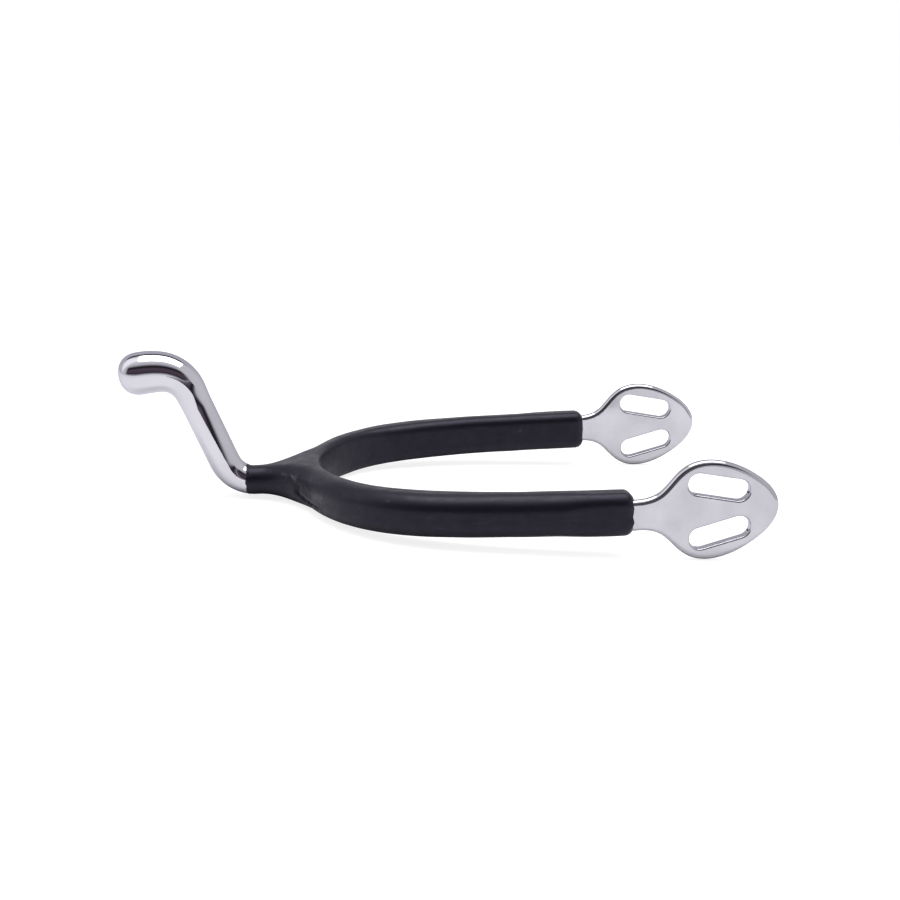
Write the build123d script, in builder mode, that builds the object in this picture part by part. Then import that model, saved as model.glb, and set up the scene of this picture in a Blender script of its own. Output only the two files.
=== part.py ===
from build123d import *

import os
from math import asin, atan2, cos, degrees, radians, sin, sqrt, tan

# English swan-neck spur: a U-shaped steel heel band in a moulded rubber cover, with a slotted strap
# plate at the end of each arm and a round bent neck that ends in a blunt, thickened knob.
#
# The steel is four pieces welded together: neck, heel band and two end plates. The rubber cover hides
# the band and the welds, and leaves the neck and the plates bare.
#
# Row frame: +X forward towards the toe, +Y left, +Z up, millimetres. The spur lies at rest on the lower
# edges of its end plates and the back of its cover. The origin is on that surface, under the middle of
# the spur. At rest the arms climb slightly towards the plates, so every piece is drawn on planes of the
# spur's own, tilted by that angle: x forward along the arms, y to the left and z square to them, from
# the centre of the curve round the heel.

os.makedirs("parts", exist_ok=True)

# Rubber cover in plan: round the heel, then two arms that stop widening
heel_radius = 30.8
heel_arc = 68.0  # degrees of round curve each side of the back
back_centre = 4.6  # the outside is struck from further forward, so the cover thins at the back
back_radius = 41.1
back_arc = 78.0
arm_stations = (15.0, 29.0)  # forward of the heel curve's centre
cover_inner = (35.1, 36.1)  # half widths at the stations
cover_outer = (42.8, 43.8)
cover_inner_end = 36.7
cover_outer_end = 44.3
cover_end = 45.3
cover_right_trim = 1.2  # the right arm's cover is cut this much shorter

# Rubber cover in section
cover_height = 10.8
cover_heel_edge_radius = 3.0  # inside edges
cover_back_edge_radius = 2.8  # outside edges, running on along the sleeve
cover_end_radius = 2.0
sleeve_half = 3.75  # half the width and height of the sleeve on the neck
sleeve_blend = 11.5  # concave radius from the sleeve to the back of the cover
sleeve_taper_front = -34.5
sleeve_taper_back = -42.0
cover_foot = (-34.9, 5.395)  # where its underside touches at rest, forward and down

# Steel band inside the cover
band_height = 7.6
band_thickness = 2.6
band_radius = 32.6  # inside of the band, round the heel
band_inner = (38.5, 40.0)
band_inner_end = 40.7
band_end = 38.0
band_edge_radius = 0.6
weld_length = 1.4  # butt weld between the band and each plate
weld_crown = 0.3

# End plates, each with two strap slots that close in towards the tip
plate_thickness = 2.6
plate_root = 45.0  # the shank is straight up to here
plate_root_half = 3.8
plate_half_height = 12.25
plate_widest = 62.0
plate_tip = 78.7
plate_pitch = 1.8  # degrees, tip up against the arms
plate_sink = 0.2  # the plates' middle line starts this far under the arms' middle plane
plate_tip_radius = 6.9
plate_foot = (14.5, 12.2)  # where the lower edge touches at rest, forward of the root and down
plate_edge_radius = 0.95
shank_relief = 0.2  # ground off each face of the shank, where the cover grips it
shank_step = 0.6  # forward of the root
slot_half_width = 2.6
slot_rear = (14.5, 6.74)  # end centres, forward of the root and off the plate's middle line
slot_front = (24.0, 4.54)
slot_edge_radius = 0.35

# Neck
neck_radius = 4.0
shank_radius = 3.0  # turned down under the cover
tenon_radius = 2.2  # through the band
knob_radius = 5.5
neck_height = 29.7
neck_corner = -53.4
knob_corner = -65.2
knob_centre = -75.5
root_bend_radius = 8.0
knob_bend_radius = 8.4
sleeve_lip = -50.3  # where the cover stops, just into the root bend
foot_weld_radius = 3.75
foot_weld_length = 1.6

# Rest attitude: lower edges of the plates at one end, back of the cover at the other
pitch = radians(plate_pitch)
plate_contact = plate_root + plate_foot[0] * cos(pitch) + plate_foot[1] * sin(pitch)
plate_drop = plate_sink + plate_foot[1] * cos(pitch) - plate_foot[0] * sin(pitch)
rest_angle = atan2(plate_drop - cover_foot[1], plate_contact - cover_foot[0])
rest_height = cover_foot[1] * cos(rest_angle) - cover_foot[0] * sin(rest_angle)
rear_reach = knob_radius - knob_centre * cos(rest_angle) + neck_height * sin(rest_angle)
front_reach = (plate_root + (plate_tip - plate_root) * cos(pitch)) * cos(rest_angle)
origin_shift = (rear_reach - front_reach) / 2

arms = Plane(
    origin=(origin_shift, 0, rest_height),
    x_dir=(cos(rest_angle), 0, sin(rest_angle)),
    z_dir=(-sin(rest_angle), 0, cos(rest_angle)),
)
across = Plane(origin=arms.origin, z_dir=arms.x_dir)
side = Plane(origin=arms.origin, x_dir=arms.x_dir, z_dir=(0, -1, 0))
plate_angle = rest_angle + pitch
plate_side = Plane(
    origin=arms.from_local_coords(Vector(plate_root, 0, -plate_sink)),
    x_dir=(cos(plate_angle), 0, sin(plate_angle)),
    z_dir=(0, -1, 0),
)
plate_offset = band_inner_end  # inner face of each plate, off the middle plane


def u_side(centre, radius, sweep_angle, half_widths, end, end_half_width):
    """One side of a U line, drawn in the line builder that is open: heel curve, then arm."""
    back = CenterArc((centre, 0), radius, 180, -sweep_angle)
    Spline(
        back @ 1,
        (arm_stations[0], half_widths[0]),
        (arm_stations[1], half_widths[1]),
        (end, end_half_width),
        tangents=(back % 1, (1, 0)),
    )


# Neck path in the side plane: shank, root bend, rise, knob bend, knob
rise_angle = atan2(neck_height, neck_corner - knob_corner)
turn = degrees(rise_angle)
root_start = neck_corner + root_bend_radius * tan(rise_angle / 2)
knob_trim = knob_bend_radius * tan(rise_angle / 2)
root_trim = root_bend_radius * tan(rise_angle / 2)
rise_length = sqrt(neck_height**2 + (neck_corner - knob_corner) ** 2)
growth_start = 4.5  # the neck starts to thicken this far below the knob bend
knob_sections = 12
band_back = -band_radius - band_thickness

# Heel band: a flat bar bent to a U, pierced at the back for the neck's tenon
with BuildPart() as heel_band:
    with BuildSketch(arms.offset(-band_height / 2)):
        with BuildLine():
            u_side(0, band_radius, heel_arc, band_inner, band_end, band_inner_end)
            u_side(
                0,
                band_radius + band_thickness,
                heel_arc,
                (band_inner[0] + band_thickness, band_inner[1] + band_thickness),
                band_end,
                band_inner_end + band_thickness,
            )
            Line((-band_radius, 0), (band_back, 0))
            Line((band_end, band_inner_end), (band_end, band_inner_end + band_thickness))
        make_face()
        mirror(about=Plane.XZ)
    extrude(amount=band_height)
    long_edges = heel_band.faces().filter_by(arms).edges().filter_by(GeomType.LINE, reverse=True)
    fillet(long_edges, radius=band_edge_radius)
    with BuildSketch(Plane(origin=arms.origin, z_dir=-arms.x_dir).offset(band_radius - 1)):
        Circle(tenon_radius)
    extrude(amount=band_thickness + 2, mode=Mode.SUBTRACT)
heel_band.part.label = "heel_band"
export_step(heel_band.part, "parts/heel_band.step")

# Neck: turned-down shank coped to the band, tenon through it, then round bar bent twice and
# swelling into the knob
with BuildPart() as neck:
    with BuildLine(side) as rise_path:
        root_bend = JernArc((root_start, 0), (-1, 0), root_bend_radius, -turn)
        rise = PolarLine(
            root_bend @ 1,
            rise_length - root_trim - knob_trim - growth_start,
            direction=root_bend % 1,
        )
    with BuildSketch(Plane(origin=rise_path.line @ 0, z_dir=rise_path.line % 0)):
        Circle(neck_radius)
    sweep(path=rise_path.line)
    split(bisect_by=across.offset(sleeve_lip), keep=Keep.BOTTOM)
    with BuildLine(side) as shank_path:
        Line((band_back + 1, 0), (root_start, 0))
        JernArc((root_start, 0), (-1, 0), root_bend_radius, -turn / 2)
    with BuildSketch(Plane(origin=shank_path.line @ 0, z_dir=shank_path.line % 0)):
        Circle(shank_radius)
    sweep(path=shank_path.line)
    add(heel_band.part, mode=Mode.SUBTRACT)
    with BuildSketch(Plane(origin=shank_path.line @ 0, z_dir=arms.x_dir).offset(-1.5)):
        Circle(tenon_radius)
    extrude(amount=3.7)
    with BuildLine(side) as knob_path:
        swell = PolarLine(rise @ 1, growth_start, direction=rise % 1)
        knob_bend = JernArc(swell @ 1, swell % 1, knob_bend_radius, turn)
        Line(knob_bend @ 1, (knob_centre, neck_height))
    for section in range(knob_sections + 1):
        along = section / knob_sections
        with BuildSketch(
            Plane(origin=knob_path.line @ along, z_dir=knob_path.line % along)
        ):
            Circle(neck_radius + (knob_radius - neck_radius) * along**2 * (3 - 2 * along))
    loft()
    with BuildSketch(side):
        with BuildLine():
            CenterArc((knob_centre, neck_height), knob_radius, 90, 90)
            Line((knob_centre - knob_radius, neck_height), (knob_centre, neck_height))
            Line((knob_centre, neck_height), (knob_centre, neck_height + knob_radius))
        make_face()
    revolve(axis=Axis(side.from_local_coords(Vector(knob_centre, neck_height, 0)), arms.x_dir))
neck.part.label = "neck"
export_step(neck.part, "parts/neck.step")

# End plates: a narrow shank welded to the band, then the slotted plate outside the cover
with BuildPart() as left_end_plate:
    with BuildSketch(plate_side.offset(-plate_offset - plate_thickness)):
        with BuildLine():
            shank_start = band_end + weld_length - plate_root
            tip = plate_tip - plate_root
            shank_edge = Line((shank_start, plate_root_half), (0, plate_root_half))
            tip_arc = CenterArc((tip - plate_tip_radius, 0), plate_tip_radius, 45, -45)
            Spline(
                shank_edge @ 1,
                (4.6, 5.1),
                (9.0, 9.3),
                (13.5, 12.0),
                (plate_widest - plate_root, plate_half_height),
                (23.5, 11.0),
                (28.5, 8.1),
                tip_arc @ 0,
                tangents=((1, 0), tip_arc % 0),
            )
            Line((shank_start, 0), (shank_start, plate_root_half))
            Line((shank_start, 0), (tip, 0))
        make_face()
        mirror(about=Plane.XZ)
    extrude(amount=plate_thickness)
    outline = left_end_plate.faces().filter_by(Plane.XZ).edges()
    weld_edges = outline.filter_by(Axis(plate_side.origin, plate_side.y_dir))
    fillet(outline - weld_edges, radius=plate_edge_radius)
    with BuildSketch(plate_side.offset(-plate_offset - plate_thickness)):
        for turned in (1, -1):
            rear = (slot_rear[0], turned * slot_rear[1])
            front = (slot_front[0], turned * slot_front[1])
            middle = ((rear[0] + front[0]) / 2, (rear[1] + front[1]) / 2)
            SlotCenterPoint(middle, front, 2 * slot_half_width)
    extrude(amount=plate_thickness, mode=Mode.SUBTRACT)
    for relief_face in (plate_offset + plate_thickness, plate_offset + shank_relief):
        with BuildSketch(plate_side.offset(-relief_face)):
            with BuildLine():
                Polyline(
                    (shank_start - 1, plate_half_height),
                    (shank_start - 1, -plate_half_height),
                    (shank_step, -plate_half_height),
                    (shank_step, plate_half_height),
                    close=True,
                )
            make_face()
        extrude(amount=shank_relief, mode=Mode.SUBTRACT)
    slot_rims = [
        rim
        for face in left_end_plate.faces().filter_by(Plane.XZ)
        for wire in face.inner_wires()
        for rim in wire.edges()
    ]
    fillet(slot_rims, radius=slot_edge_radius)
left_end_plate.part.label = "left_end_plate"
export_step(left_end_plate.part, "parts/left_end_plate.step")

with BuildPart() as right_end_plate:
    mirror(left_end_plate.part, about=Plane.XZ)
right_end_plate.part.label = "right_end_plate"
export_step(right_end_plate.part, "parts/right_end_plate.step")

# Butt welds between the band and the plates, slightly proud of both
with BuildPart() as left_plate_weld:
    with BuildSketch(arms.offset(-band_height / 2 - weld_crown)):
        with BuildLine():
            inner_side = ThreePointArc(
                (band_end - 0.6, plate_offset),
                (band_end + weld_length / 2, plate_offset - weld_crown),
                (band_end + weld_length + 0.6, plate_offset),
            )
            outer_side = ThreePointArc(
                (band_end - 0.6, plate_offset + plate_thickness),
                (band_end + weld_length / 2, plate_offset + plate_thickness + weld_crown),
                (band_end + weld_length + 0.6, plate_offset + plate_thickness),
            )
            Line(inner_side @ 0, outer_side @ 0)
            Line(inner_side @ 1, outer_side @ 1)
        make_face()
    extrude(amount=band_height + 2 * weld_crown)
    add(heel_band.part, mode=Mode.SUBTRACT)
    add(left_end_plate.part, mode=Mode.SUBTRACT)
left_plate_weld.part.label = "left_plate_weld"
export_step(left_plate_weld.part, "parts/left_plate_weld.step")

with BuildPart() as right_plate_weld:
    mirror(left_plate_weld.part, about=Plane.XZ)
right_plate_weld.part.label = "right_plate_weld"
export_step(right_plate_weld.part, "parts/right_plate_weld.step")

# Fillet weld round the foot of the neck's shank
with BuildPart() as neck_weld:
    with BuildSketch(side):
        with BuildLine():
            Polyline(
                (band_back - foot_weld_length, shank_radius - 0.5),
                (band_back - foot_weld_length, shank_radius),
                (band_back, foot_weld_radius),
                (band_back + 0.6, foot_weld_radius),
                (band_back + 0.6, shank_radius - 0.5),
                close=True,
            )
        make_face()
    revolve(axis=Axis(arms.origin, arms.x_dir))
    add(heel_band.part, mode=Mode.SUBTRACT)
    add(neck.part, mode=Mode.SUBTRACT)
neck_weld.part.label = "neck_weld"
export_step(neck_weld.part, "parts/neck_weld.step")

steel = (
    heel_band.part,
    neck.part,
    neck_weld.part,
    left_end_plate.part,
    right_end_plate.part,
    left_plate_weld.part,
    right_plate_weld.part,
)

# Rubber cover: drawn in plan and in side view, rounded, then hollowed by the steel inside it
with BuildPart() as rubber_cover:
    with BuildSketch(arms.offset(-cover_height / 2)) as plan:
        with BuildLine():
            u_side(0, heel_radius, heel_arc, cover_inner, cover_end, cover_inner_end)
            u_side(
                back_centre,
                back_radius,
                back_arc,
                cover_outer,
                cover_end,
                cover_outer_end,
            )
            Line((-heel_radius, 0), (back_centre - back_radius, 0))
            Line((cover_end, cover_inner_end), (cover_end, cover_outer_end))
        make_face()
        mirror(about=Plane.XZ)
        with BuildLine():
            Polyline(
                (cover_end - cover_right_trim, -cover_inner_end + 2),
                (cover_end - cover_right_trim, -cover_outer_end - 2),
                (cover_end + 1, -cover_outer_end - 2),
                (cover_end + 1, -cover_inner_end + 2),
                close=True,
            )
        make_face(mode=Mode.SUBTRACT)
        with BuildLine():
            Polyline(
                (back_centre - back_radius + 3, -sleeve_half),
                (back_centre - back_radius + 3, sleeve_half),
                (root_start - 6, sleeve_half),
                (root_start - 6, -sleeve_half),
                close=True,
            )
        make_face()
        crotches = plan.vertices().filter_by(
            lambda v: abs(abs(v.Y) - sleeve_half) < 0.01 and v.X > root_start
        )
        fillet(crotches, radius=sleeve_blend)
    extrude(amount=cover_height)
    with BuildSketch(side.offset(-cover_outer_end - 1)):
        with BuildLine():
            profile_ends = []
            for turned in (1, -1):
                top = Line(
                    (cover_end + 1, turned * cover_height / 2),
                    (sleeve_taper_front, turned * cover_height / 2),
                )
                taper = Spline(
                    top @ 1,
                    (sleeve_taper_back, turned * sleeve_half),
                    tangents=((-1, 0), (-1, 0)),
                )
                flat = Line(taper @ 1, (root_start, turned * sleeve_half))
                bend_reach = root_bend_radius - turned * sleeve_half
                lip_angle = degrees(asin((root_start - sleeve_lip) / bend_reach))
                lip = JernArc(flat @ 1, (-1, 0), bend_reach, -lip_angle)
                profile_ends += [top @ 0, lip @ 1]
            Line(profile_ends[0], profile_ends[2])
            Line(profile_ends[1], profile_ends[3])
        make_face()
    extrude(amount=2 * cover_outer_end + 2, mode=Mode.INTERSECT)
    open_ends = rubber_cover.faces().filter_by(across)
    lip_end = rubber_cover.faces().sort_by(Axis(arms.origin, arms.x_dir))[0]
    walls = ShapeList(
        face
        for face in rubber_cover.faces()
        if abs(face.normal_at(face.center()).dot(arms.z_dir)) < 0.2
    )
    long_edges = (walls - open_ends).edges() - open_ends.edges() - lip_end.edges()
    long_edges = long_edges - long_edges.filter_by(Axis(arms.origin, arms.z_dir))
    heel_top = arms.from_local_coords(Vector(-heel_radius, 0, cover_height / 2))
    heel_bottom = arms.from_local_coords(Vector(-heel_radius, 0, -cover_height / 2))
    heel_edges = ShapeList(
        edge
        for edge in long_edges
        if min((edge @ 0.5 - heel_top).length, (edge @ 0.5 - heel_bottom).length) < 0.1
    )
    fillet(heel_edges, radius=cover_heel_edge_radius)
    back_edges = rubber_cover.edges().filter_by(
        lambda edge: edge in long_edges and edge not in heel_edges
    )
    fillet(back_edges, radius=cover_back_edge_radius)
    for which in (0, -1):
        open_ends = rubber_cover.faces().filter_by(across).sort_by(Axis.Y)
        fillet(open_ends[which].edges(), radius=cover_end_radius)
    for piece in steel:
        add(piece, mode=Mode.SUBTRACT)
rubber_cover.part.label = "rubber_cover"
export_step(rubber_cover.part, "parts/rubber_cover.step")
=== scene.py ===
import math
from itertools import product

import bpy
import numpy as np
from mathutils import Matrix, Vector, noise
from mathutils.geometry import delaunay_2d_cdt


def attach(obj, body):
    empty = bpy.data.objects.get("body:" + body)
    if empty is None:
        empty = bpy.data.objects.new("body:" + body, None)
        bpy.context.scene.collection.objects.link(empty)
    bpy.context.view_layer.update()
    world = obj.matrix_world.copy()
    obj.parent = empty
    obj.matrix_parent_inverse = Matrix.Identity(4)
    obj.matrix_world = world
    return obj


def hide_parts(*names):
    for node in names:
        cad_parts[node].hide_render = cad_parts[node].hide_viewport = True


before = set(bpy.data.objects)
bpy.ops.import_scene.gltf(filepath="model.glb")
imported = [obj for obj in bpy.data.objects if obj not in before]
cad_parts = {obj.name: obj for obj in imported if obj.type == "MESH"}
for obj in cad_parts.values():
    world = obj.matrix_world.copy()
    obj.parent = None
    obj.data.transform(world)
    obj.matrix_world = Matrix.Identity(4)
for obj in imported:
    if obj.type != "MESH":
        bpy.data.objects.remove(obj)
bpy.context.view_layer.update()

# The spur's own planes, as in the CAD: x forward along the arms, y left, z square to them, in
# millimetres from the centre of the heel curve. At rest they are tilted and lifted into the row frame.
TILT = math.radians(3.9495)
CENTRE = np.array([2.185, 0.0, 7.786])


def to_row(points, angle=TILT, centre=CENTRE):
    """Points on the spur's planes, in mm, to the row frame, in metres."""
    p = np.asarray(points, float)
    c, s = math.cos(angle), math.sin(angle)
    turned = np.stack([p[..., 0] * c - p[..., 2] * s, p[..., 1], p[..., 0] * s + p[..., 2] * c], -1)
    return (turned + centre) / 1000.0


def turn_to_row(directions, angle=TILT):
    """Directions on the spur's planes to the row frame, their lengths unchanged."""
    return to_row(directions, angle, np.zeros(3)) * 1000


# ---------------------------------------------------------------- shared shape helpers
def smooth(t):
    """Soft step from 0 to 1."""
    t = np.clip(t, 0.0, 1.0)
    return t * t * (3 - 2 * t)


def bell(distance, width):
    """1 at distance 0, falling to nothing over about twice the width."""
    return np.exp(-((distance / width) ** 2))


def blend(start, stop, amount):
    """From start at amount 0 to stop at amount 1."""
    return start + (stop - start) * amount


def rounded_edge(first, second, radius):
    """Field below zero where both fields are, with the edge between them rounded off."""
    a = first + radius
    b = second + radius
    return np.hypot(np.maximum(a, 0), np.maximum(b, 0)) + np.minimum(np.maximum(a, b), 0) - radius


def spline(points, start, end, per=30):
    """Curve with continuous curvature through the points, leaving and arriving along the two tangents."""
    p = np.asarray(points, float)
    n = len(p)
    h = np.linalg.norm(np.diff(p, axis=0), axis=1)
    a = np.zeros((n, n))
    b = np.zeros((n, 2))
    a[0, 0] = a[-1, -1] = 1
    b[0], b[-1] = start, end
    for i in range(1, n - 1):
        a[i, i - 1 : i + 2] = h[i], 2 * (h[i - 1] + h[i]), h[i - 1]
        b[i] = 3 * (h[i] * (p[i] - p[i - 1]) / h[i - 1] + h[i - 1] * (p[i + 1] - p[i]) / h[i])
    m = np.linalg.solve(a, b)
    t = np.linspace(0, 1, per, endpoint=False)[:, None]
    out = []
    for i in range(n - 1):
        out.append(
            (2 * t**3 - 3 * t**2 + 1) * p[i]
            + (t**3 - 2 * t**2 + t) * h[i] * m[i]
            + (3 * t**2 - 2 * t**3) * p[i + 1]
            + (t**3 - t**2) * h[i] * m[i + 1]
        )
    return np.vstack(out + [p[-1:]])


def make_object(name, vertices, faces, normals=None):
    mesh = bpy.data.meshes.new(name)
    mesh.from_pydata([tuple(v) for v in vertices], [], [tuple(f) for f in faces])
    mesh.update()
    mesh.shade_smooth()
    if normals is not None:
        mesh.normals_split_custom_set_from_vertices([tuple(n) for n in normals])
    obj = bpy.data.objects.new(name, mesh)
    bpy.context.scene.collection.objects.link(obj)
    return obj


# ---------------------------------------------------------------- rubber cover
HALF_HEIGHT = 5.4
SLEEVE_RADIUS = 3.80
SLEEVE_FRONT, SLEEVE_BACK = -34.0, -46.2  # where the section starts and ends its change to the sleeve's
JOIN_FRONT = -18  # the arms and the sleeve are joined only behind this
JOIN_RADIUS = 11.5
ARM_END = {1: 45.2, -1: 44.0}
ARM_END_RADIUS = 2.4

# rounding of the long edges: outside at the heel and at the plates, inside on the arms and at the heel
EDGE_AT_HEEL, EDGE_AT_PLATES = 4.2, 3.0
EDGE_CHANGE, EDGE_CHANGE_LENGTH = 25.0, 10.0
INNER_EDGE_ON_ARMS, INNER_EDGE_AT_HEEL = 2.7, 1.5
INNER_CHANGE, INNER_CHANGE_LENGTH = -8.0, 18.0

# the sleeve's end, where the neck comes out and starts to bend up
LIP = -50.25
LIP_RADIUS = 0.4
LIP_FLARE = 0.18
FLARE_START, FLARE_LENGTH = -48.8, 1.2
BEND_START = -47.98
BEND_RADIUS = 8.0

CELL = 0.42
FIELD_LOW = np.array([-51.4, -45.3, -6.3])
FIELD_HIGH = np.array([46.6, 45.3, 6.9])
RELAX_TURNS = 3
LOWEST = 0.000004  # metres above the table, which the rubber doesn't sink below

# Route of the fold where the right arm leaves the sleeve: a groove in the skin, with its colour darkened
# along it as painted shade.
FOLD = [
    (-36.9, -9.5, 1.0),
    (-36.6, -10.0, 0.4),
    (-36.9, -9.6, -0.8),
    (-36.1, -10.7, -1.9),
    (-34.5, -13.2, -2.5),
    (-32.9, -16.8, -2.5),
    (-31.6, -19.5, -2.6),
]
RAISED_SMEARS_WITH_PAINTED_HIGHLIGHT = [  # centre, half length, half height, how far it stands up, how much its colour is lightened as painted highlight
    ((-37.2, -9.1, 2.5), 0.85, 0.55, 0.22, 1.5),
    ((-40.1, -6.0, 2.8), 1.30, 0.40, 0.12, 1.0),
    ((-42.2, -5.2, -0.3), 1.9, 0.25, 0.05, 0.6),
    ((-39.0, -7.4, 0.2), 1.2, 0.22, 0.05, 0.6),
    ((-33.5, -15.5, 2.1), 2.2, 0.25, 0.05, 0.6),
    ((-30.9, -20.7, 0.6), 1.8, 1.30, 0.05, 0.5),
]


def u_line(centre, radius, sweep, stations):
    """Half of a U in plan: an arc round the heel, then an arm that runs on past the rubber's end."""
    past_end = 70.0
    angle = np.radians(np.linspace(180, 180 - sweep, 50))
    arc = np.stack([centre + radius * np.cos(angle), radius * np.sin(angle)], 1)
    leave = (math.sin(angle[-1]), -math.cos(angle[-1]))
    arm = spline([arc[-1]] + stations, leave, (1, 0), 24)
    return np.vstack([arc, arm[1:], [[past_end, stations[-1][1]]]])


INNER = u_line(0, 30.8, 68, [(15, 35.1), (29, 36.1), (45.3, 36.7)])
OUTER = u_line(4.6, 41.1, 78, [(15, 42.8), (29, 43.8), (45.3, 44.25)])


def lateral(plan, line):
    """Distance in plan from a U line, positive outside it."""
    start = line[:-1]
    run = line[1:] - start
    squared = (run * run).sum(1)
    out = np.empty(len(plan))
    batch = 4000
    for k in range(0, len(plan), batch):
        w = plan[k : k + batch, None] - start[None]
        t = np.clip((w * run).sum(-1) / squared, 0, 1)
        q = w - t[..., None] * run
        d = (q * q).sum(-1)
        j = d.argmin(1)
        i = np.arange(len(j))
        cross = run[j, 0] * w[i, j, 1] - run[j, 1] * w[i, j, 0]
        out[k : k + batch] = np.sqrt(d[i, j]) * np.where(cross >= 0, 1, -1)
    return out


def trimmed_end(y, z):
    """Where each arm's rubber ends: trimmed by hand, with a little flash left outside on the right."""
    outside = smooth((np.abs(y) - 42.9) / 0.5)
    flash = 0.35 * bell(z - 1.7, 1.2) + 0.55 * bell(z + 1.6, 0.8)
    end = np.where(y > 0, ARM_END[1], ARM_END[-1] + flash * outside)
    return end + 0.05 * np.sin(z * 1.3 + y) + 0.02 * np.sin(z * 3.7)


def ragged_lip(y, z):
    """Unevenness of the sleeve's cut end round the neck."""
    turn = np.arctan2(z, y)
    return 0.13 * np.sin(3 * turn + 0.7) + 0.09 * np.sin(8 * turn) + 0.06 * np.sin(17 * turn + 2)


def cover_field(x, y, z, d_in, d_out):
    """Below zero inside the rubber. d_in and d_out are the distances in plan from the two U lines."""
    back = smooth((SLEEVE_FRONT - x) / (SLEEVE_FRONT - SLEEVE_BACK))
    flare = LIP_FLARE * smooth((FLARE_START - x) / FLARE_LENGTH) * (1 + 0.5 * np.tanh(z))
    half = blend(HALF_HEIGHT, SLEEVE_RADIUS, back) + flare
    arm_edge = blend(EDGE_AT_HEEL, EDGE_AT_PLATES, smooth((x - EDGE_CHANGE) / EDGE_CHANGE_LENGTH))
    edge = blend(arm_edge, SLEEVE_RADIUS - 0.04, back) + flare
    to_heel = smooth((INNER_CHANGE - x) / INNER_CHANGE_LENGTH)
    inner_edge = blend(INNER_EDGE_ON_ARMS, INNER_EDGE_AT_HEEL, to_heel)

    tube = np.abs(y) - SLEEVE_RADIUS - flare
    hollow = np.hypot(np.maximum(JOIN_RADIUS - d_out, 0), np.maximum(JOIN_RADIUS - tube, 0))
    joined = np.maximum(JOIN_RADIUS, np.minimum(d_out, tube)) - hollow
    outer = np.where(x < JOIN_FRONT, joined, d_out)

    bend = np.clip(BEND_START - x, 0, 5)
    height = np.abs(z - (BEND_RADIUS - np.sqrt(BEND_RADIUS**2 - bend**2)))
    d = np.maximum(rounded_edge(outer, height - half, edge), rounded_edge(d_in, height - half, inner_edge))
    d = rounded_edge(d, x - trimmed_end(y, z), ARM_END_RADIUS)
    return rounded_edge(d, LIP + ragged_lip(y, z) - x, LIP_RADIUS)


def cover_at(p):
    plan = np.stack([p[:, 0], np.abs(p[:, 1])], 1)
    return cover_field(p[:, 0], p[:, 1], p[:, 2], -lateral(plan, INNER), lateral(plan, OUTER))


def cover_normals(p):
    """Unit vectors straight out of the rubber's skin."""
    e = 0.05
    g = np.stack([(cover_at(p + e * axis) - cover_at(p - e * axis)) / (2 * e) for axis in np.eye(3)], 1)
    return g / (np.linalg.norm(g, axis=1)[:, None] + 1e-9)


def surface(field, low, step):
    """Quads on the zero level of a sampled field: one vertex per crossed cell."""
    inside = field < 0
    nx, ny, nz = field.shape
    cells = (nx - 1, ny - 1, nz - 1)
    total = np.zeros(cells + (3,))
    count = np.zeros(cells)

    def at(c, g):
        return g[c[0] : nx - 1 + c[0], c[1] : ny - 1 + c[1], c[2] : nz - 1 + c[2]]

    for a in product((0, 1), repeat=3):
        for axis in range(3):
            if a[axis]:
                continue
            b = tuple(1 if k == axis else a[k] for k in range(3))
            fa, fb = at(a, field), at(b, field)
            cut = at(a, inside) != at(b, inside)
            t = np.where(cut, fa / np.where(cut, fa - fb, 1), 0)
            for k in range(3):
                total[..., k] += np.where(cut, a[k] + (t if k == axis else 0), 0)
            count += cut
    used = count > 0
    index = np.full(cells, -1)
    index[used] = np.arange(used.sum())
    vertices = low + step * (np.argwhere(used) + total[used] / count[used][:, None])

    # each grid edge that crosses the surface gets a quad through the four cells round it
    faces = []
    for axis in range(3):
        b, c = [(1, 2), (2, 0), (0, 1)][axis]
        lo = [slice(None)] * 3
        hi = [slice(None)] * 3
        lo[axis], hi[axis] = slice(0, -1), slice(1, None)
        at_cut = np.argwhere(inside[tuple(lo)] != inside[tuple(hi)])
        keep = (at_cut[:, b] > 0) & (at_cut[:, c] > 0)
        keep &= (at_cut[:, b] < field.shape[b] - 1) & (at_cut[:, c] < field.shape[c] - 1)
        at_cut = at_cut[keep]
        leaving = inside[tuple(at_cut.T)]
        ring = []
        for db, dc in ((-1, -1), (0, -1), (0, 0), (-1, 0)):
            q = at_cut.copy()
            q[:, b] += db
            q[:, c] += dc
            ring.append(index[tuple(q.T)])
        quads = np.stack(ring, 1)
        quads[~leaving] = quads[~leaving][:, ::-1]
        faces.append(quads)
    return vertices, np.vstack(faces)


def sampled_cover():
    """The cover's field on a grid of cells, as a first rough surface."""
    axes = [np.arange(FIELD_LOW[k], FIELD_HIGH[k] + CELL, CELL) for k in range(3)]
    gx, gy = np.meshgrid(axes[0], axes[1], indexing="ij")
    plan = np.stack([gx.ravel(), np.abs(gy.ravel())], 1)
    d_in = -lateral(plan, INNER).reshape(gx.shape)
    d_out = lateral(plan, OUTER).reshape(gx.shape)
    heights = axes[2][None, None, :]
    field = cover_field(gx[..., None], gy[..., None], heights, d_in[..., None], d_out[..., None])
    return surface(field, FIELD_LOW, CELL)


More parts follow.
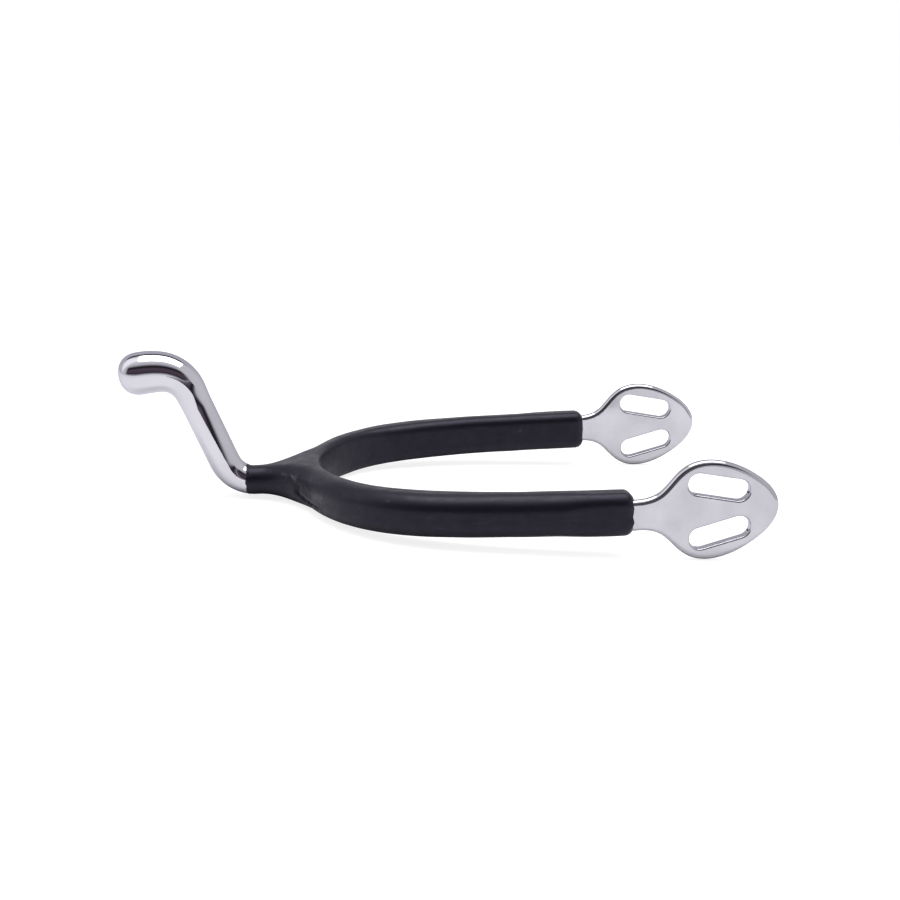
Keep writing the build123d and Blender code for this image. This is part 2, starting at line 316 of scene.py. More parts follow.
def build_cover():
    """One closed skin: points are evened out along the surface and pulled back onto it, then marked."""
    points, quads = sampled_cover()
    edges = np.vstack([quads[:, [0, 1]], quads[:, [1, 2]], quads[:, [2, 3]], quads[:, [3, 0]]])
    for _ in range(RELAX_TURNS):
        mean = np.zeros_like(points)
        times = np.zeros(len(points))
        for a, b in ((0, 1), (1, 0)):
            np.add.at(mean, edges[:, a], points[edges[:, b]])
            np.add.at(times, edges[:, a], 1)
        move = mean / times[:, None] - points
        out = cover_normals(points)
        points = points + 0.6 * (move - (move * out).sum(1)[:, None] * out)
        points = points - np.clip(cover_at(points), -0.3, 0.3)[:, None] * out
    height, painted_shade_and_highlight = moulding_marks(points)
    rows = to_row(points + height[:, None] * cover_normals(points))
    rows[:, 2] = np.maximum(rows[:, 2], LOWEST)
    obj = make_object("heel_cover", rows, quads.tolist())
    # This attribute holds painted shade along the fold and painted highlight on the smears, which the
    # rubber's colour reads.
    obj.data.attributes.new("painted_shade_and_highlight", "FLOAT", "POINT").data.foreach_set("value", painted_shade_and_highlight)
    return obj


def distance_from(p, route):
    """Distance of each point from a route of straight runs."""
    best = np.full(len(p), 1e9)
    for a, b in zip(route[:-1], route[1:]):
        a, b = np.array(a), np.array(b)
        t = np.clip(((p - a) @ (b - a)) / ((b - a) @ (b - a)), 0, 1)
        best = np.minimum(best, np.linalg.norm(p - a - t[:, None] * (b - a), axis=1))
    return best


def moulding_marks(p):
    """Height and painted light of the rubber's unevenness: low waves, the fold where the right arm leaves the
    sleeve, smears beside it and the mould's parting line along the sleeve. The second value is below zero
    where the fold is darkened as painted shade and above it where smears are lightened as painted highlight."""
    x, y, z = p.T
    wave = np.array([noise.noise(Vector(q / 7.0)) for q in p])
    ripple = np.array([noise.noise(Vector((q[0] / 5.0, q[1] / 1.6, q[2] / 1.6))) for q in p])
    crumble = np.array([noise.noise(Vector(q / 0.9)) for q in p])
    height = 0.06 * wave + 0.018 * ripple
    painted_shade_and_highlight = np.zeros(len(p))

    fold = distance_from(p, FOLD) + 0.22 * crumble
    depth = 0.45 + 0.55 * smooth((0.6 - z) / 1.5)  # shallow at its upper end
    height -= 0.50 * depth * bell(fold, 0.50)
    height += 0.12 * bell(fold - 1.4, 0.6)
    # Painted shade: the colour is darkened along the fold, where the crease would be in shade.
    painted_shade_and_highlight -= 1.2 * depth * bell(fold, 0.85)

    for (cx, cy, cz), half_length, half_height, up, painted_highlight in RAISED_SMEARS_WITH_PAINTED_HIGHLIGHT:
        same_side = np.abs(y - cy) < 4
        lengthwise = ((x - cx + 0.3 * crumble) / half_length) ** 4
        spot = same_side * np.exp(-lengthwise - ((z - cz) / half_height) ** 4)
        height += up * spot
        # Painted highlight: the colour is lightened over each smear, which is also raised above.
        painted_shade_and_highlight += painted_highlight * spot * (0.8 + 0.8 * crumble)

    seam = smooth((x + 47.5) / 1.5) * smooth((-38.5 - x) / 2.0)
    height += 0.07 * seam * bell(z + 0.6, 0.28) * (np.abs(y) > 1)
    height += 0.03 * np.clip(crumble - 0.45, 0, 1)
    return height, painted_shade_and_highlight


cover = build_cover()
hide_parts("rubber_cover")
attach(cover, "root")

# ---------------------------------------------------------------- neck
RISE_HEIGHT, RISE_LENGTH = 29.7, 11.8  # of the sloping stretch, between the corners of the centre line
RISE = math.atan2(RISE_HEIGHT, RISE_LENGTH)
RISE_SHORT = 0.10  # kept this much shorter than in the CAD, to stay in its box
KNOB_BEND_RADIUS = 8.4
KNOB_CORNER, KNOB_END = 65.2, 75.5  # how far back the upper corner and the knob's centre are
KNOB_SHORT = 0.15
KNOB_RADIUS = 5.5
KNOB_SWELL = 4.5  # length of bar over which it starts to swell before the upper bend ends
KNOB_FULL = 2.0 / 2.3  # power that makes the knob's end a little fuller than a ball
DROOP = math.radians(7.5)
DROOP_LENGTH = 4.5
BAR_RADIUS = 4.0
ROOT_THINNER = 0.16
SHANK_RADIUS = 3.0  # turned down inside the sleeve
SHANK_LENGTH = 6.0  # from the neck's hidden end to the start of the root bend
BEND_EASE = 1.1  # over which each bend eases in and out
MOUTH = -49.95  # plane in which the bar comes out of the sleeve
AROUND = 72
BAR_RINGS = 150
KNOB_RINGS = 26


def neck_line():
    """The bar's centre line, with bends that ease in and out: distance, x, z, slope and radius."""
    root_trim = BEND_RADIUS * math.tan(RISE / 2)
    knob_trim = KNOB_BEND_RADIUS * math.tan(RISE / 2)
    stretches = [
        SHANK_LENGTH,
        BEND_RADIUS * RISE,
        math.hypot(RISE_HEIGHT, RISE_LENGTH) - root_trim - knob_trim - RISE_SHORT,
        KNOB_BEND_RADIUS * RISE,
        KNOB_END - KNOB_CORNER - knob_trim - KNOB_SHORT,
    ]
    marks = np.cumsum([0] + stretches)
    s = np.linspace(0, marks[-1], 900)
    ds = s[1] - s[0]
    width = int(BEND_EASE / ds)
    kernel = np.exp(-0.5 * (np.arange(-3 * width, 3 * width + 1) / width) ** 2)
    padded = np.pad(np.interp(s, marks, [0, 0, RISE, RISE, 0, 0]), 3 * width, mode="edge")
    slope = np.convolve(padded, kernel / kernel.sum(), "valid")
    slope = slope - DROOP * smooth((s - marks[5] + DROOP_LENGTH) / DROOP_LENGTH)
    mid = (slope[1:] + slope[:-1]) / 2
    x = BEND_START + SHANK_LENGTH - np.concatenate([[0], np.cumsum(np.cos(mid) * ds)])
    z = np.concatenate([[0], np.cumsum(np.sin(mid) * ds)])
    swell = smooth((s - (marks[3] - KNOB_SWELL)) / (marks[5] - marks[3] + KNOB_SWELL))
    thick = smooth((s - SHANK_LENGTH - 3) / 8)
    radius = BAR_RADIUS - ROOT_THINNER + ROOT_THINNER * thick + (KNOB_RADIUS - BAR_RADIUS) * swell
    return s, x, z, slope, radius


def build_neck():
    """Round bar swept along one smooth line: root bend, rise, knob bend, then a rounded end."""
    s, x, z, slope, radius = neck_line()
    angle = np.arange(AROUND) * 2 * math.pi / AROUND

    def ring_at(t, r):
        """One point for each angle, each at its own distance t along the line."""
        px, pz, turn = (np.interp(t, s, v) for v in (x, z, slope))
        out = np.stack([np.sin(turn) * np.sin(angle), np.cos(angle), np.cos(turn) * np.sin(angle)], -1)
        return np.stack([px, 0 * px, pz], -1) + r[..., None] * out

    # where each line of the bar's surface comes out of the sleeve's upright lip
    meets = np.full(AROUND, SHANK_LENGTH + 2.0)
    for _ in range(30):
        meets += ring_at(meets, np.interp(meets, s, radius))[:, 0] - MOUTH
    shank = np.full(AROUND, SHANK_RADIUS)
    rings = [ring_at(np.full(AROUND, t), shank) for t in (0.3, 2.5, 4.5)]
    rings.append(ring_at(meets - 0.05, shank))
    rings.append(ring_at(meets, np.interp(meets, s, radius)))
    for part in np.linspace(0, 1, BAR_RINGS):
        t = meets + 0.03 + (s[-1] - meets - 0.03) * part
        rings.append(ring_at(t, np.interp(t, s, radius)))

    end = np.array([x[-1], 0, z[-1]])
    ahead = np.array([-math.cos(DROOP), 0, -math.sin(DROOP)])
    across = np.array([-math.sin(DROOP), 0, math.cos(DROOP)])
    rim = np.cos(angle)[:, None] * np.array([0, 1, 0]) + np.sin(angle)[:, None] * across
    for tilt in np.radians(np.linspace(0, 90, KNOB_RINGS)[1:-1]):
        out = math.cos(tilt) ** KNOB_FULL * rim + math.sin(tilt) ** KNOB_FULL * ahead
        rings.append(end + KNOB_RADIUS * out)

    faces = []
    for r in range(len(rings) - 1):
        here, there = r * AROUND, (r + 1) * AROUND
        for k in range(AROUND):
            n = (k + 1) % AROUND
            faces.append((here + k, here + n, there + n, there + k))
    last = (len(rings) - 1) * AROUND
    tip = len(rings) * AROUND
    for k in range(AROUND):
        n = (k + 1) % AROUND
        faces.append((last + k, last + n, tip))
        faces.append((n, k, tip + 1))
    ends = [end + KNOB_RADIUS * ahead, [x[0] - 0.3, 0, z[0]]]
    return make_object("neck_bar", to_row(np.vstack(rings + [ends])), faces)


neck = build_neck()
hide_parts("neck")
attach(neck, "root")

# ---------------------------------------------------------------- end plates
PLATE_ROOT = np.array([45.0, 0.0, -0.2])
PLATE_TILT = TILT + math.radians(1.8)
RIGHT_PLATE_TURN = math.radians(0.4)
PLATE_IN, PLATE_OUT = 40.7, 43.3  # the plate's two faces, from the spur's middle plane
PLATE_MID = (PLATE_IN + PLATE_OUT) / 2
PLATE_HALF = (PLATE_OUT - PLATE_IN) / 2
PLATE_TIP = 33.7
PLATE_TOP = [
    (0, 3.8),
    (4.8, 4.95),
    (9.0, 9.0),
    (12.4, 11.45),
    (15.8, 12.25),
    (19.6, 11.95),
    (24.4, 10.3),
    (28.6, 7.75),
    (31.9, 4.65),
    (PLATE_TIP, 0),
]
ROOT_CORNER = 2.6
PLATE_RIM = (1.35, 1.22)  # how far a rim rolls in across the face, and into the thickness
SLOT_RIM = (0.55, 0.6)
RIM_STEPS = 13
OUTLINE_STEP, SLOT_STEP = 0.22, 0.16
SLOT_HALF = 2.6
SLOT_REAR, SLOT_FRONT = (14.5, 6.74), (24.0, 4.54)  # centres of the slot's round ends


def even(loop, step):
    """The closed loop again, with points at even steps."""
    closed = np.vstack([loop, loop[:1]])
    run = np.concatenate([[0], np.cumsum(np.linalg.norm(np.diff(closed, axis=0), axis=1))])
    s = np.linspace(0, run[-1], int(run[-1] / step), endpoint=False)
    return np.stack([np.interp(s, run, closed[:, k]) for k in range(2)], 1)


def outward(loop):
    """Unit normals of a closed anticlockwise loop, pointing out of it."""
    t = np.roll(loop, -1, 0) - np.roll(loop, 1, 0)
    t /= np.linalg.norm(t, axis=1)[:, None]
    return np.stack([t[:, 1], -t[:, 0]], 1)


def within(point, loop):
    """Whether a point is inside a closed loop."""
    a = loop
    b = np.roll(loop, -1, 0)
    up = (a[:, 1] > point[1]) != (b[:, 1] > point[1])
    x = a[:, 0] + (point[1] - a[:, 1]) * (b[:, 0] - a[:, 0]) / np.where(up, b[:, 1] - a[:, 1], 1)
    return (up & (point[0] < x)).sum() % 2 == 1


def plate_outline():
    """The leaf shape, both halves alike, from its rounded root inside the rubber to its blunt tip."""
    top = spline(PLATE_TOP, (1, 0), (0, -1))
    b = np.radians(np.linspace(180, 90, 14))
    root = np.stack([-2.2 + ROOT_CORNER * np.cos(b), 1.2 + ROOT_CORNER * np.sin(b)], 1)
    upper = np.vstack([root, top[:-1]])
    lower = upper[::-1] * [1, -1]
    return even(np.vstack([upper, [[PLATE_TIP, 0]], lower])[::-1], OUTLINE_STEP)


def slot_loop(half):
    """One strap slot, in the upper half (1) or the lower half (-1)."""
    rear, front = (np.array([x, half * y]) for x, y in (SLOT_REAR, SLOT_FRONT))
    d = (front - rear) / np.linalg.norm(front - rear)
    n = np.array([-d[1], d[0]])
    a = np.radians(np.linspace(-90, 90, 40))[:, None]
    end = SLOT_HALF * (np.cos(a) * d + np.sin(a) * n)
    return even(np.vstack([front + end, rear - end]), SLOT_STEP)


def rim_stations(roll):
    """Steps down the side, rim to rim: how far in from the loop, at what level, and the normal's lean."""
    tilts = [(1, k) for k in np.linspace(90, 0, RIM_STEPS)] + [(-1, k) for k in np.linspace(0, 90, RIM_STEPS)]
    for way, degrees in tilts:
        tilt = math.radians(degrees)
        shrink = roll[0] * (1 - math.cos(tilt))
        level = way * (PLATE_HALF - roll[1] + roll[1] * math.sin(tilt))
        lean = math.atan2(math.sin(tilt) / roll[1], math.cos(tilt) / roll[0])
        yield way, shrink, level, lean


def side_wall(loop, roll, solid_inside, first):
    """Side of the plate along one loop, both rims rounded. Returns points, normals and faces, which
    count from the index first on."""
    n = outward(loop) * (1 if solid_inside else -1)
    count = len(loop)
    verts, norms, faces = [], [], []
    for way, shrink, level, lean in rim_stations(roll):
        for q, m in zip(loop - n * shrink, n):
            verts.append((q[0], q[1], level))
            norms.append((m[0] * math.cos(lean), m[1] * math.cos(lean), way * math.sin(lean)))
    for r in range(2 * RIM_STEPS - 1):
        here, there = first + r * count, first + (r + 1) * count
        for k in range(count):
            nx = (k + 1) % count
            quad = (here + k, there + k, there + nx, here + nx)
            faces.append(quad if solid_inside else quad[::-1])
    return verts, norms, faces


def flat_face(verts, loops, way):
    """Triangles that fill the first loop and leave the others open, facing up (1) or down (-1)."""
    ids = [i for loop in loops for i in loop]
    flat = [Vector((verts[i][0], verts[i][1])) for i in ids]
    edges, at = [], 0
    for loop in loops:
        edges += [(at + k, at + (k + 1) % len(loop)) for k in range(len(loop))]
        at += len(loop)
    tris = delaunay_2d_cdt(flat, edges, [], 0, 1e-6)[2]
    outline, *holes = [np.array([verts[i][:2] for i in loop]) for loop in loops]
    faces = []
    for tri in tris:
        a, b, c = (np.array(flat[k]) for k in tri)
        middle = (a + b + c) / 3
        if not within(middle, outline) or any(within(middle, hole) for hole in holes):
            continue
        turn = (b[0] - a[0]) * (c[1] - a[1]) - (b[1] - a[1]) * (c[0] - a[0])
        t = [ids[k] for k in tri]
        faces.append(t if (turn > 0) == (way > 0) else t[::-1])
    return faces


def build_plate(name, side):
    """A strap plate on the left (1) or right (-1) arm, built lying flat and then stood up."""
    verts, norms, faces = [], [], []
    face_loops = {1: [], -1: []}
    walls = [(plate_outline(), PLATE_RIM, True)] + [(slot_loop(half), SLOT_RIM, False) for half in (1, -1)]
    for loop, roll, solid_inside in walls:
        first = len(verts)
        count = len(loop)
        for whole, piece in zip((verts, norms, faces), side_wall(loop, roll, solid_inside, first)):
            whole += piece
        face_loops[1].append(range(first, first + count))
        face_loops[-1].append(range(len(verts) - count, len(verts)))
    for way, loops in face_loops.items():
        faces += flat_face(verts, loops, way)
    v = np.array(verts)
    n = np.array(norms)
    # along the plate, across it, thickness -> x, y, z, with the thickness pointing away from the heel
    p = np.stack([v[:, 0], side * (PLATE_MID + v[:, 2]), v[:, 1]], 1)
    m = np.stack([n[:, 0], side * n[:, 2], n[:, 1]], 1)
    tilt = PLATE_TILT + (RIGHT_PLATE_TURN if side < 0 else 0)
    if side > 0:
        faces = [tuple(f)[::-1] for f in faces]
    return make_object(name, to_row(p, tilt, to_row(PLATE_ROOT) * 1000), faces, turn_to_row(m, tilt))


plates = []
for name, node, side in (("plate_left", "left_end_plate", 1), ("plate_right", "right_end_plate", -1)):
    plate = build_plate(name, side)
    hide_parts(node)
    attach(plate, "root")
    plates.append(plate)


# ---------------------------------------------------------------- shader helpers
def grey(value):
    return (value, value, value)


def add_node(t, kind, **values):
    """A new node, with each value set on its socket or else on the node itself."""
    n = t.nodes.new(kind)
    for key, value in values.items():
        if key in n.inputs:
            n.inputs[key].default_value = value
        else:
            setattr(n, key, value)
    return n


def empty_material(name):
    """A material whose surface has nothing linked to it yet."""
    m = bpy.data.materials.new(name)
    m.use_nodes = True
    m.node_tree.nodes.clear()
    return m, m.node_tree, m.node_tree.nodes.new("ShaderNodeOutputMaterial").inputs["Surface"]


def new_material(name):
    m, t, surface_input = empty_material(name)
    bsdf = t.nodes.new("ShaderNodeBsdfPrincipled")
    t.links.new(bsdf.outputs[0], surface_input)
    return m, t, bsdf


def coordinates(t, scale=(1, 1, 1)):
    m = add_node(t, "ShaderNodeMapping")
    m.inputs["Scale"].default_value = scale
    t.links.new(t.nodes.new("ShaderNodeTexCoord").outputs["Object"], m.inputs["Vector"])
    return m.outputs["Vector"]


def noise_at(t, scale, size, detail=4.0, rough=0.55):
    n = add_node(t, "ShaderNodeTexNoise", Scale=size, Detail=detail, Roughness=rough)
    t.links.new(coordinates(t, scale), n.inputs["Vector"])
    return n.outputs["Fac"]


def ramp(t, fac, stops):
    r = t.nodes.new("ShaderNodeValToRGB")
    e = r.color_ramp.elements
    while len(e) < len(stops):
        e.new(0.5)
    for k, (place, colour) in enumerate(stops):
        e[k].position = place
        e[k].color = (*colour, 1.0)
    t.links.new(fac, r.inputs["Fac"])
    return r.outputs["Color"]


def maths(t, operation, *values):
    """The result of one operation on sockets and plain numbers."""
    n = add_node(t, "ShaderNodeMath", operation=operation)
    for k, v in enumerate(values):
        if isinstance(v, (int, float)):
            n.inputs[k].default_value = v
        else:
            t.links.new(v, n.inputs[k])
    return n.outputs[0]


def soft_step(t, value, start, stop):
    """0 where the value is at start, 1 where it is at stop."""
    n = add_node(t, "ShaderNodeMapRange", interpolation_type="SMOOTHSTEP")
    n.inputs["From Min"].default_value = start
    n.inputs["From Max"].default_value = stop
    t.links.new(value, n.inputs["Value"])
    return n.outputs["Result"]


def mix_colours(t, amount, first, second):
    n = add_node(t, "ShaderNodeMix", data_type="RGBA")
    for socket, index in ((amount, 0), (first, 6), (second, 7)):
        t.links.new(socket, n.inputs[index])
    return n.outputs[2]


def mix_shaders(t, amount, first, second):
    n = t.nodes.new("ShaderNodeMixShader")
    for index, socket in enumerate((amount, first, second)):
        t.links.new(socket, n.inputs[index])
    return n.outputs[0]


def bump(t, bsdf, heights):
    """Bumps one on another, each with its strength and its height in metres."""
    last = None
    for fac, strength, distance in heights:
        b = add_node(t, "ShaderNodeBump", Strength=strength, Distance=distance)
        t.links.new(fac, b.inputs["Height"])
        if last is not None:
            t.links.new(last, b.inputs["Normal"])
        last = b.outputs["Normal"]
    t.links.new(last, bsdf.inputs["Normal"])


# ---------------------------------------------------------------- materials
def steel(name, colours, roughness, wave):
    """Polished steel: cloudy colour, fine polishing lines along x and faint waves."""
    m, t, b = new_material(name)
    b.inputs["Metallic"].default_value = 1.0
    b.inputs["Specular Tint"].default_value = (0.62, 0.62, 0.66, 1.0)
    cloudy = noise_at(t, (1, 1, 1), 90.0, 5.0)
    t.links.new(ramp(t, cloudy, [(0.3, colours[0]), (0.7, colours[1])]), b.inputs["Base Color"])
    polish = noise_at(t, (500, 1500, 1500), 1.0, 6.0, 0.65)
    rough = ramp(t, polish, [(0.25, grey(roughness[0])), (0.8, grey(roughness[1]))])
    t.links.new(rough, b.inputs["Roughness"])
    broad = noise_at(t, (1, 1, 1), 120.0, 1.0)
    fine = noise_at(t, (900, 2600, 2600), 1.0, 3.0)
    bump(t, b, [(broad, wave, 0.0003), (fine, 0.03, 0.00002)])
    return m


def rubber():
    """Black rubber: mottled skin with streaks along the arms, pores, and the cover's painted shade along the
    fold and painted highlight on the smears.
    """
    m, t, b = new_material("black_rubber_skin")
    mottled = noise_at(t, (1, 1, 1), 330.0, 8.0, 0.66)
    streak = noise_at(t, (150, 1300, 1300), 1.0, 5.0, 0.62)
    # Painted shade on the fold and painted highlight on the smears, read from the cover, shift the colour and
    # roughness below.
    painted_shade_and_highlight = add_node(t, "ShaderNodeAttribute", attribute_name="painted_shade_and_highlight").outputs["Fac"]
    skin = maths(t, "MULTIPLY_ADD", streak, 0.38, maths(t, "MULTIPLY", mottled, 0.62))
    shade = maths(t, "MULTIPLY_ADD", painted_shade_and_highlight, 0.22, skin)
    colour = ramp(
        t,
        shade,
        [
            (0.34, (0.0012, 0.0009, 0.0018)),
            (0.50, (0.0026, 0.0020, 0.0044)),
            (0.62, (0.0050, 0.0040, 0.0080)),
            (0.76, (0.0420, 0.0390, 0.0470)),
        ],
    )
    t.links.new(colour, b.inputs["Base Color"])
    rough = ramp(t, shade, [(0.24, grey(0.90)), (0.38, grey(0.46)), (0.50, grey(0.40)), (0.64, grey(0.30))])
    t.links.new(rough, b.inputs["Roughness"])
    b.inputs["Specular IOR Level"].default_value = 0.27
    b.inputs["Specular Tint"].default_value = (0.82, 0.77, 1.0, 1.0)
    b.inputs["Sheen Weight"].default_value = 0.02
    b.inputs["Sheen Roughness"].default_value = 0.45
    b.inputs["Sheen Tint"].default_value = (0.82, 0.80, 1.0, 1.0)
    grain = noise_at(t, (1, 1, 1), 2600.0, 4.0, 0.6)
    pores = add_node(t, "ShaderNodeTexVoronoi", Scale=900.0)
    t.links.new(coordinates(t), pores.inputs["Vector"])
    heights = [
        (mottled, 0.18, 0.00018),
        (streak, 0.14, 0.00010),
        (pores.outputs["Distance"], 0.10, 0.00006),
        (grain, 0.18, 0.00005),
    ]
    bump(t, b, heights)
    return m


NECK_COLOURS = ((0.475, 0.470, 0.500), (0.525, 0.520, 0.550))
PLATE_COLOURS = ((0.375, 0.372, 0.393), (0.470, 0.465, 0.496))
BAND_COLOURS = ((0.30, 0.30, 0.31), (0.42, 0.42, 0.43))

neck_steel = steel("polished_steel_neck", NECK_COLOURS, (0.035, 0.075), 0.03)
plate_steel = steel("polished_steel_plate", PLATE_COLOURS, (0.06, 0.13), 0.06)
hidden_steel = steel("plain_steel_band", BAND_COLOURS, (0.30, 0.50), 0.2)
rubber_skin = rubber()
neck.data.materials.append(neck_steel)
for plate in plates:
    plate.data.materials.append(plate_steel)
cover.data.materials.append(rubber_skin)
for name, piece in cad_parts.items():
    finish = {
        "neck": neck_steel,
        "left_end_plate": plate_steel,
        "right_end_plate": plate_steel,
        "rubber_cover": rubber_skin,
    }.get(name, hidden_steel)
    piece.data.materials.clear()
    piece.data.materials.append(finish)


# ---------------------------------------------------------------- floor, studio, camera
FLOOR_HALF = 4.0
FLOOR_LEVEL = -0.00002
FLOOR_GLOW = 1.3
FLOOR_GLOW_SHARE = 0.62
SOFTBOX_PLACE, SOFTBOX_AIM = (0.06, 0.045, 0.80), (0.06, 0.045, 0.0)
SOFTBOX_WIDTH, SOFTBOX_LENGTH = 0.82, 0.58
SOFTBOX_RADIANCE = 4.15
CARD_LEFT, CARD_RIGHT, CARD_FOOT, CARD_TOP = -0.052, 0.25, 0.0006, 0.10
CARD_AHEAD = -0.16
CARD_BANDS_START, CARD_BANDS_WIDTH = -0.05, 0.16
CARD_LEAN, CARD_LEAN_LEVEL = 1.54, 0.015  # sideways for each metre up, none at this height
ROOM_TURN = math.radians(6.0)  # the room's middle is this far left of straight ahead
ROOM_EDGE, ROOM_FULL = math.radians(64), math.radians(46)
LEFT_WALL_FULL = -0.3  # how far left a direction points where the left wall takes over wholly

# camera: placed in the spur's own planes, then tilted with them
AZIMUTH, ELEVATION, ROLL = (math.radians(v) for v in (-3.664, 15.233, -1.201))
AIM = np.array([3.39, 0.0, 6.0])
DISTANCE = 353.37
LENS = 53.6156


def stage_quad(name, corners):
    """A flat four-cornered mesh of the set, not of the object."""
    mesh = bpy.data.meshes.new(name)
    mesh.from_pydata(corners, [], [(0, 1, 2, 3)])
    obj = bpy.data.objects.new(name, mesh)
    bpy.context.scene.collection.objects.link(obj)
    return obj


def build_floor():
    """Pale floor, over-exposed for the camera as a studio sweep is, so that only a faint shadow stays."""
    a = FLOOR_HALF
    obj = stage_quad("floor", [(-a, -a, 0), (a, -a, 0), (a, a, 0), (-a, a, 0)])
    obj.location.z = FLOOR_LEVEL
    m, t, surface_input = empty_material("pale_floor")
    matt = add_node(t, "ShaderNodeBsdfPrincipled", Roughness=0.9)
    matt.inputs["Specular IOR Level"].default_value = 0.1
    colour = ramp(t, noise_at(t, (1, 1, 1), 3.0), [(0.3, (0.90, 0.90, 0.905)), (0.7, (0.93, 0.93, 0.935))])
    t.links.new(colour, matt.inputs["Base Color"])
    glow = add_node(t, "ShaderNodeEmission", Strength=FLOOR_GLOW)
    seen = t.nodes.new("ShaderNodeLightPath").outputs["Is Camera Ray"]
    share = maths(t, "MULTIPLY", seen, FLOOR_GLOW_SHARE)
    t.links.new(mix_shaders(t, share, matt.outputs[0], glow.outputs[0]), surface_input)
    obj.data.materials.append(m)
    return obj


def build_studio():
    """What the object reflects: a room with dark gaps in front and behind, and light walls beside it.
    Bands are given by degrees from straight ahead at the floor, over the top, to straight behind."""
    world = bpy.data.worlds.new("studio")
    bpy.context.scene.world = world
    world.use_nodes = True
    t = world.node_tree
    t.nodes.clear()
    out = t.nodes.new("ShaderNodeOutputWorld")
    direction = t.nodes.new("ShaderNodeSeparateXYZ")
    t.links.new(t.nodes.new("ShaderNodeTexCoord").outputs["Generated"], direction.inputs[0])
    x, y, z = direction.outputs
    over = maths(t, "ARCTAN2", z, maths(t, "MULTIPLY", y, -1.0))
    level = maths(t, "DIVIDE", maths(t, "ABSOLUTE", over), math.pi)

    def bands(stops):
        return ramp(t, level, [(degrees / 180.0, colour) for degrees, colour in stops])

    left_wall = bands(
        [
            (0, (0.90, 0.89, 0.93)),
            (60, (0.95, 0.94, 0.99)),
            (76, (1.60, 1.58, 1.64)),
            (106, (1.60, 1.58, 1.64)),
            (122, (0.95, 0.94, 0.99)),
            (180, (0.90, 0.89, 0.93)),
        ]
    )
    right_wall = bands([(0, (0.90, 0.89, 0.93)), (90, (0.95, 0.94, 0.99)), (180, (0.90, 0.89, 0.93))])
    room = bands(
        [
            (0, (0.55, 0.54, 0.58)),
            (4, (0.40, 0.39, 0.42)),
            (7.5, (0.030, 0.024, 0.030)),
            (11, (0.060, 0.045, 0.060)),
            (16, (0.110, 0.080, 0.105)),
            (31, (0.115, 0.088, 0.112)),
            (37, (0.020, 0.016, 0.020)),
            (43, (0.035, 0.030, 0.036)),
            (50, (0.42, 0.41, 0.46)),
            (56, (0.80, 0.78, 0.84)),
            (70, (1.05, 1.04, 1.08)),
            (112, (1.05, 1.04, 1.08)),
            (115, (0.03, 0.03, 0.04)),
            (124, (0.03, 0.03, 0.04)),
            (130, (0.75, 0.74, 0.82)),
            (180, (0.92, 0.91, 0.97)),
        ]
    )
    sideways = maths(t, "ARCTAN2", x, maths(t, "ABSOLUTE", y))
    aside = maths(t, "ABSOLUTE", maths(t, "ADD", sideways, ROOM_TURN))
    walls = mix_colours(t, soft_step(t, x, 0.0, LEFT_WALL_FULL), right_wall, left_wall)
    in_room = soft_step(t, aside, ROOM_EDGE, ROOM_FULL)
    studio = add_node(t, "ShaderNodeBackground", Strength=1.0)
    t.links.new(mix_colours(t, in_room, walls, room), studio.inputs["Color"])
    white = add_node(t, "ShaderNodeBackground", Strength=1.0, Color=(1, 1, 1, 1))
    seen = t.nodes.new("ShaderNodeLightPath").outputs["Is Camera Ray"]
    t.links.new(mix_shaders(t, seen, studio.outputs[0], white.outputs[0]), out.inputs["Surface"])


def build_softbox():
    """The one lamp: a wide softbox overhead."""
    light = bpy.data.lights.new("softbox_top", "AREA")
    light.shape = "RECTANGLE"
    light.size = SOFTBOX_WIDTH
    light.size_y = SOFTBOX_LENGTH
    light.energy = SOFTBOX_RADIANCE * math.pi * SOFTBOX_WIDTH * SOFTBOX_LENGTH
    obj = bpy.data.objects.new("softbox_top", light)
    bpy.context.scene.collection.objects.link(obj)
    obj.location = SOFTBOX_PLACE
    aim = Vector(SOFTBOX_AIM) - Vector(SOFTBOX_PLACE)
    obj.rotation_euler = aim.to_track_quat("-Z", "Y").to_euler()
    obj.visible_camera = False


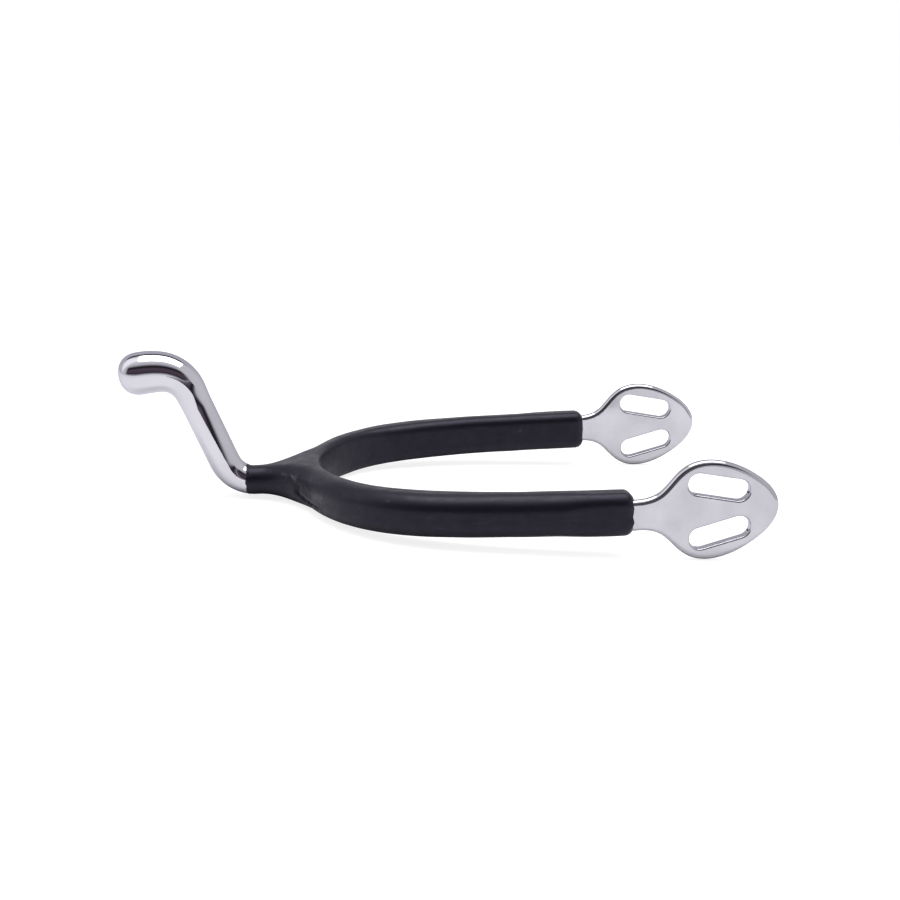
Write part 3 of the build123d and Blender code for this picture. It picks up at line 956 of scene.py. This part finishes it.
def build_card():
    """Upright card in front, seen only in the steel: dark in the middle, lighter to the right, and
    fading out to the left. Its bands lean to the right towards the top."""
    corners = [
        (CARD_LEFT, 0, CARD_FOOT),
        (CARD_RIGHT, 0, CARD_FOOT),
        (CARD_RIGHT, 0, CARD_TOP),
        (CARD_LEFT, 0, CARD_TOP),
    ]
    obj = stage_quad("front_card", corners)
    obj.location.y = CARD_AHEAD
    for seen in ("visible_camera", "visible_diffuse", "visible_shadow", "visible_transmission"):
        setattr(obj, seen, False)
    m, t, surface_input = empty_material("front_card")
    across = t.nodes.new("ShaderNodeSeparateXYZ")
    t.links.new(coordinates(t), across.inputs[0])
    leaning = maths(t, "MULTIPLY_ADD", across.outputs["Z"], -CARD_LEAN, CARD_LEAN * CARD_LEAN_LEVEL)
    level_x = maths(t, "ADD", across.outputs["X"], leaning)
    place = maths(t, "DIVIDE", maths(t, "SUBTRACT", level_x, CARD_BANDS_START), CARD_BANDS_WIDTH)
    colour = ramp(
        t,
        place,
        [
            (0.094, grey(0.50)),
            (0.150, (0.19, 0.18, 0.20)),
            (0.240, (0.13, 0.11, 0.13)),
            (0.300, (0.08, 0.07, 0.085)),
            (0.360, (0.030, 0.026, 0.034)),
            (0.430, (0.022, 0.018, 0.026)),
            (0.545, (0.15, 0.14, 0.16)),
            (0.590, (0.40, 0.38, 0.43)),
            (0.700, (0.62, 0.60, 0.66)),
            (0.800, (0.86, 0.85, 0.90)),
        ],
    )
    glow = add_node(t, "ShaderNodeEmission", Strength=1.0)
    t.links.new(colour, glow.inputs["Color"])
    clear = t.nodes.new("ShaderNodeBsdfTransparent")
    solid = ramp(t, place, [(0.0, grey(0.0)), (0.10, grey(1.0))])
    t.links.new(mix_shaders(t, solid, clear.outputs[0], glow.outputs[0]), surface_input)
    obj.data.materials.append(m)
    return obj


def build_camera():
    flat = math.cos(ELEVATION)
    back = np.array([math.sin(AZIMUTH) * flat, -math.cos(AZIMUTH) * flat, math.sin(ELEVATION)])
    level_right = np.cross(-back, [0, 0, 1.0])
    level_right /= np.linalg.norm(level_right)
    level_up = np.cross(level_right, -back)
    right = math.cos(ROLL) * level_right + math.sin(ROLL) * level_up
    up = -math.sin(ROLL) * level_right + math.cos(ROLL) * level_up
    data = bpy.data.cameras.new("camera")
    data.sensor_width = 36.0
    data.lens = LENS
    data.clip_start = 0.01
    camera = bpy.data.objects.new("camera", data)
    bpy.context.scene.collection.objects.link(camera)
    axes = np.stack([turn_to_row(v) for v in (right, up, back)], 1)
    place = Vector(to_row(AIM + back * DISTANCE))
    camera.matrix_world = Matrix.Translation(place) @ Matrix(axes.tolist()).to_4x4()
    bpy.context.scene.camera = camera


floor = build_floor()
build_studio()
build_softbox()
card = build_card()
build_camera()
bpy.context.scene.view_settings.view_transform = "Standard"
bpy.context.scene.view_settings.look = "None"
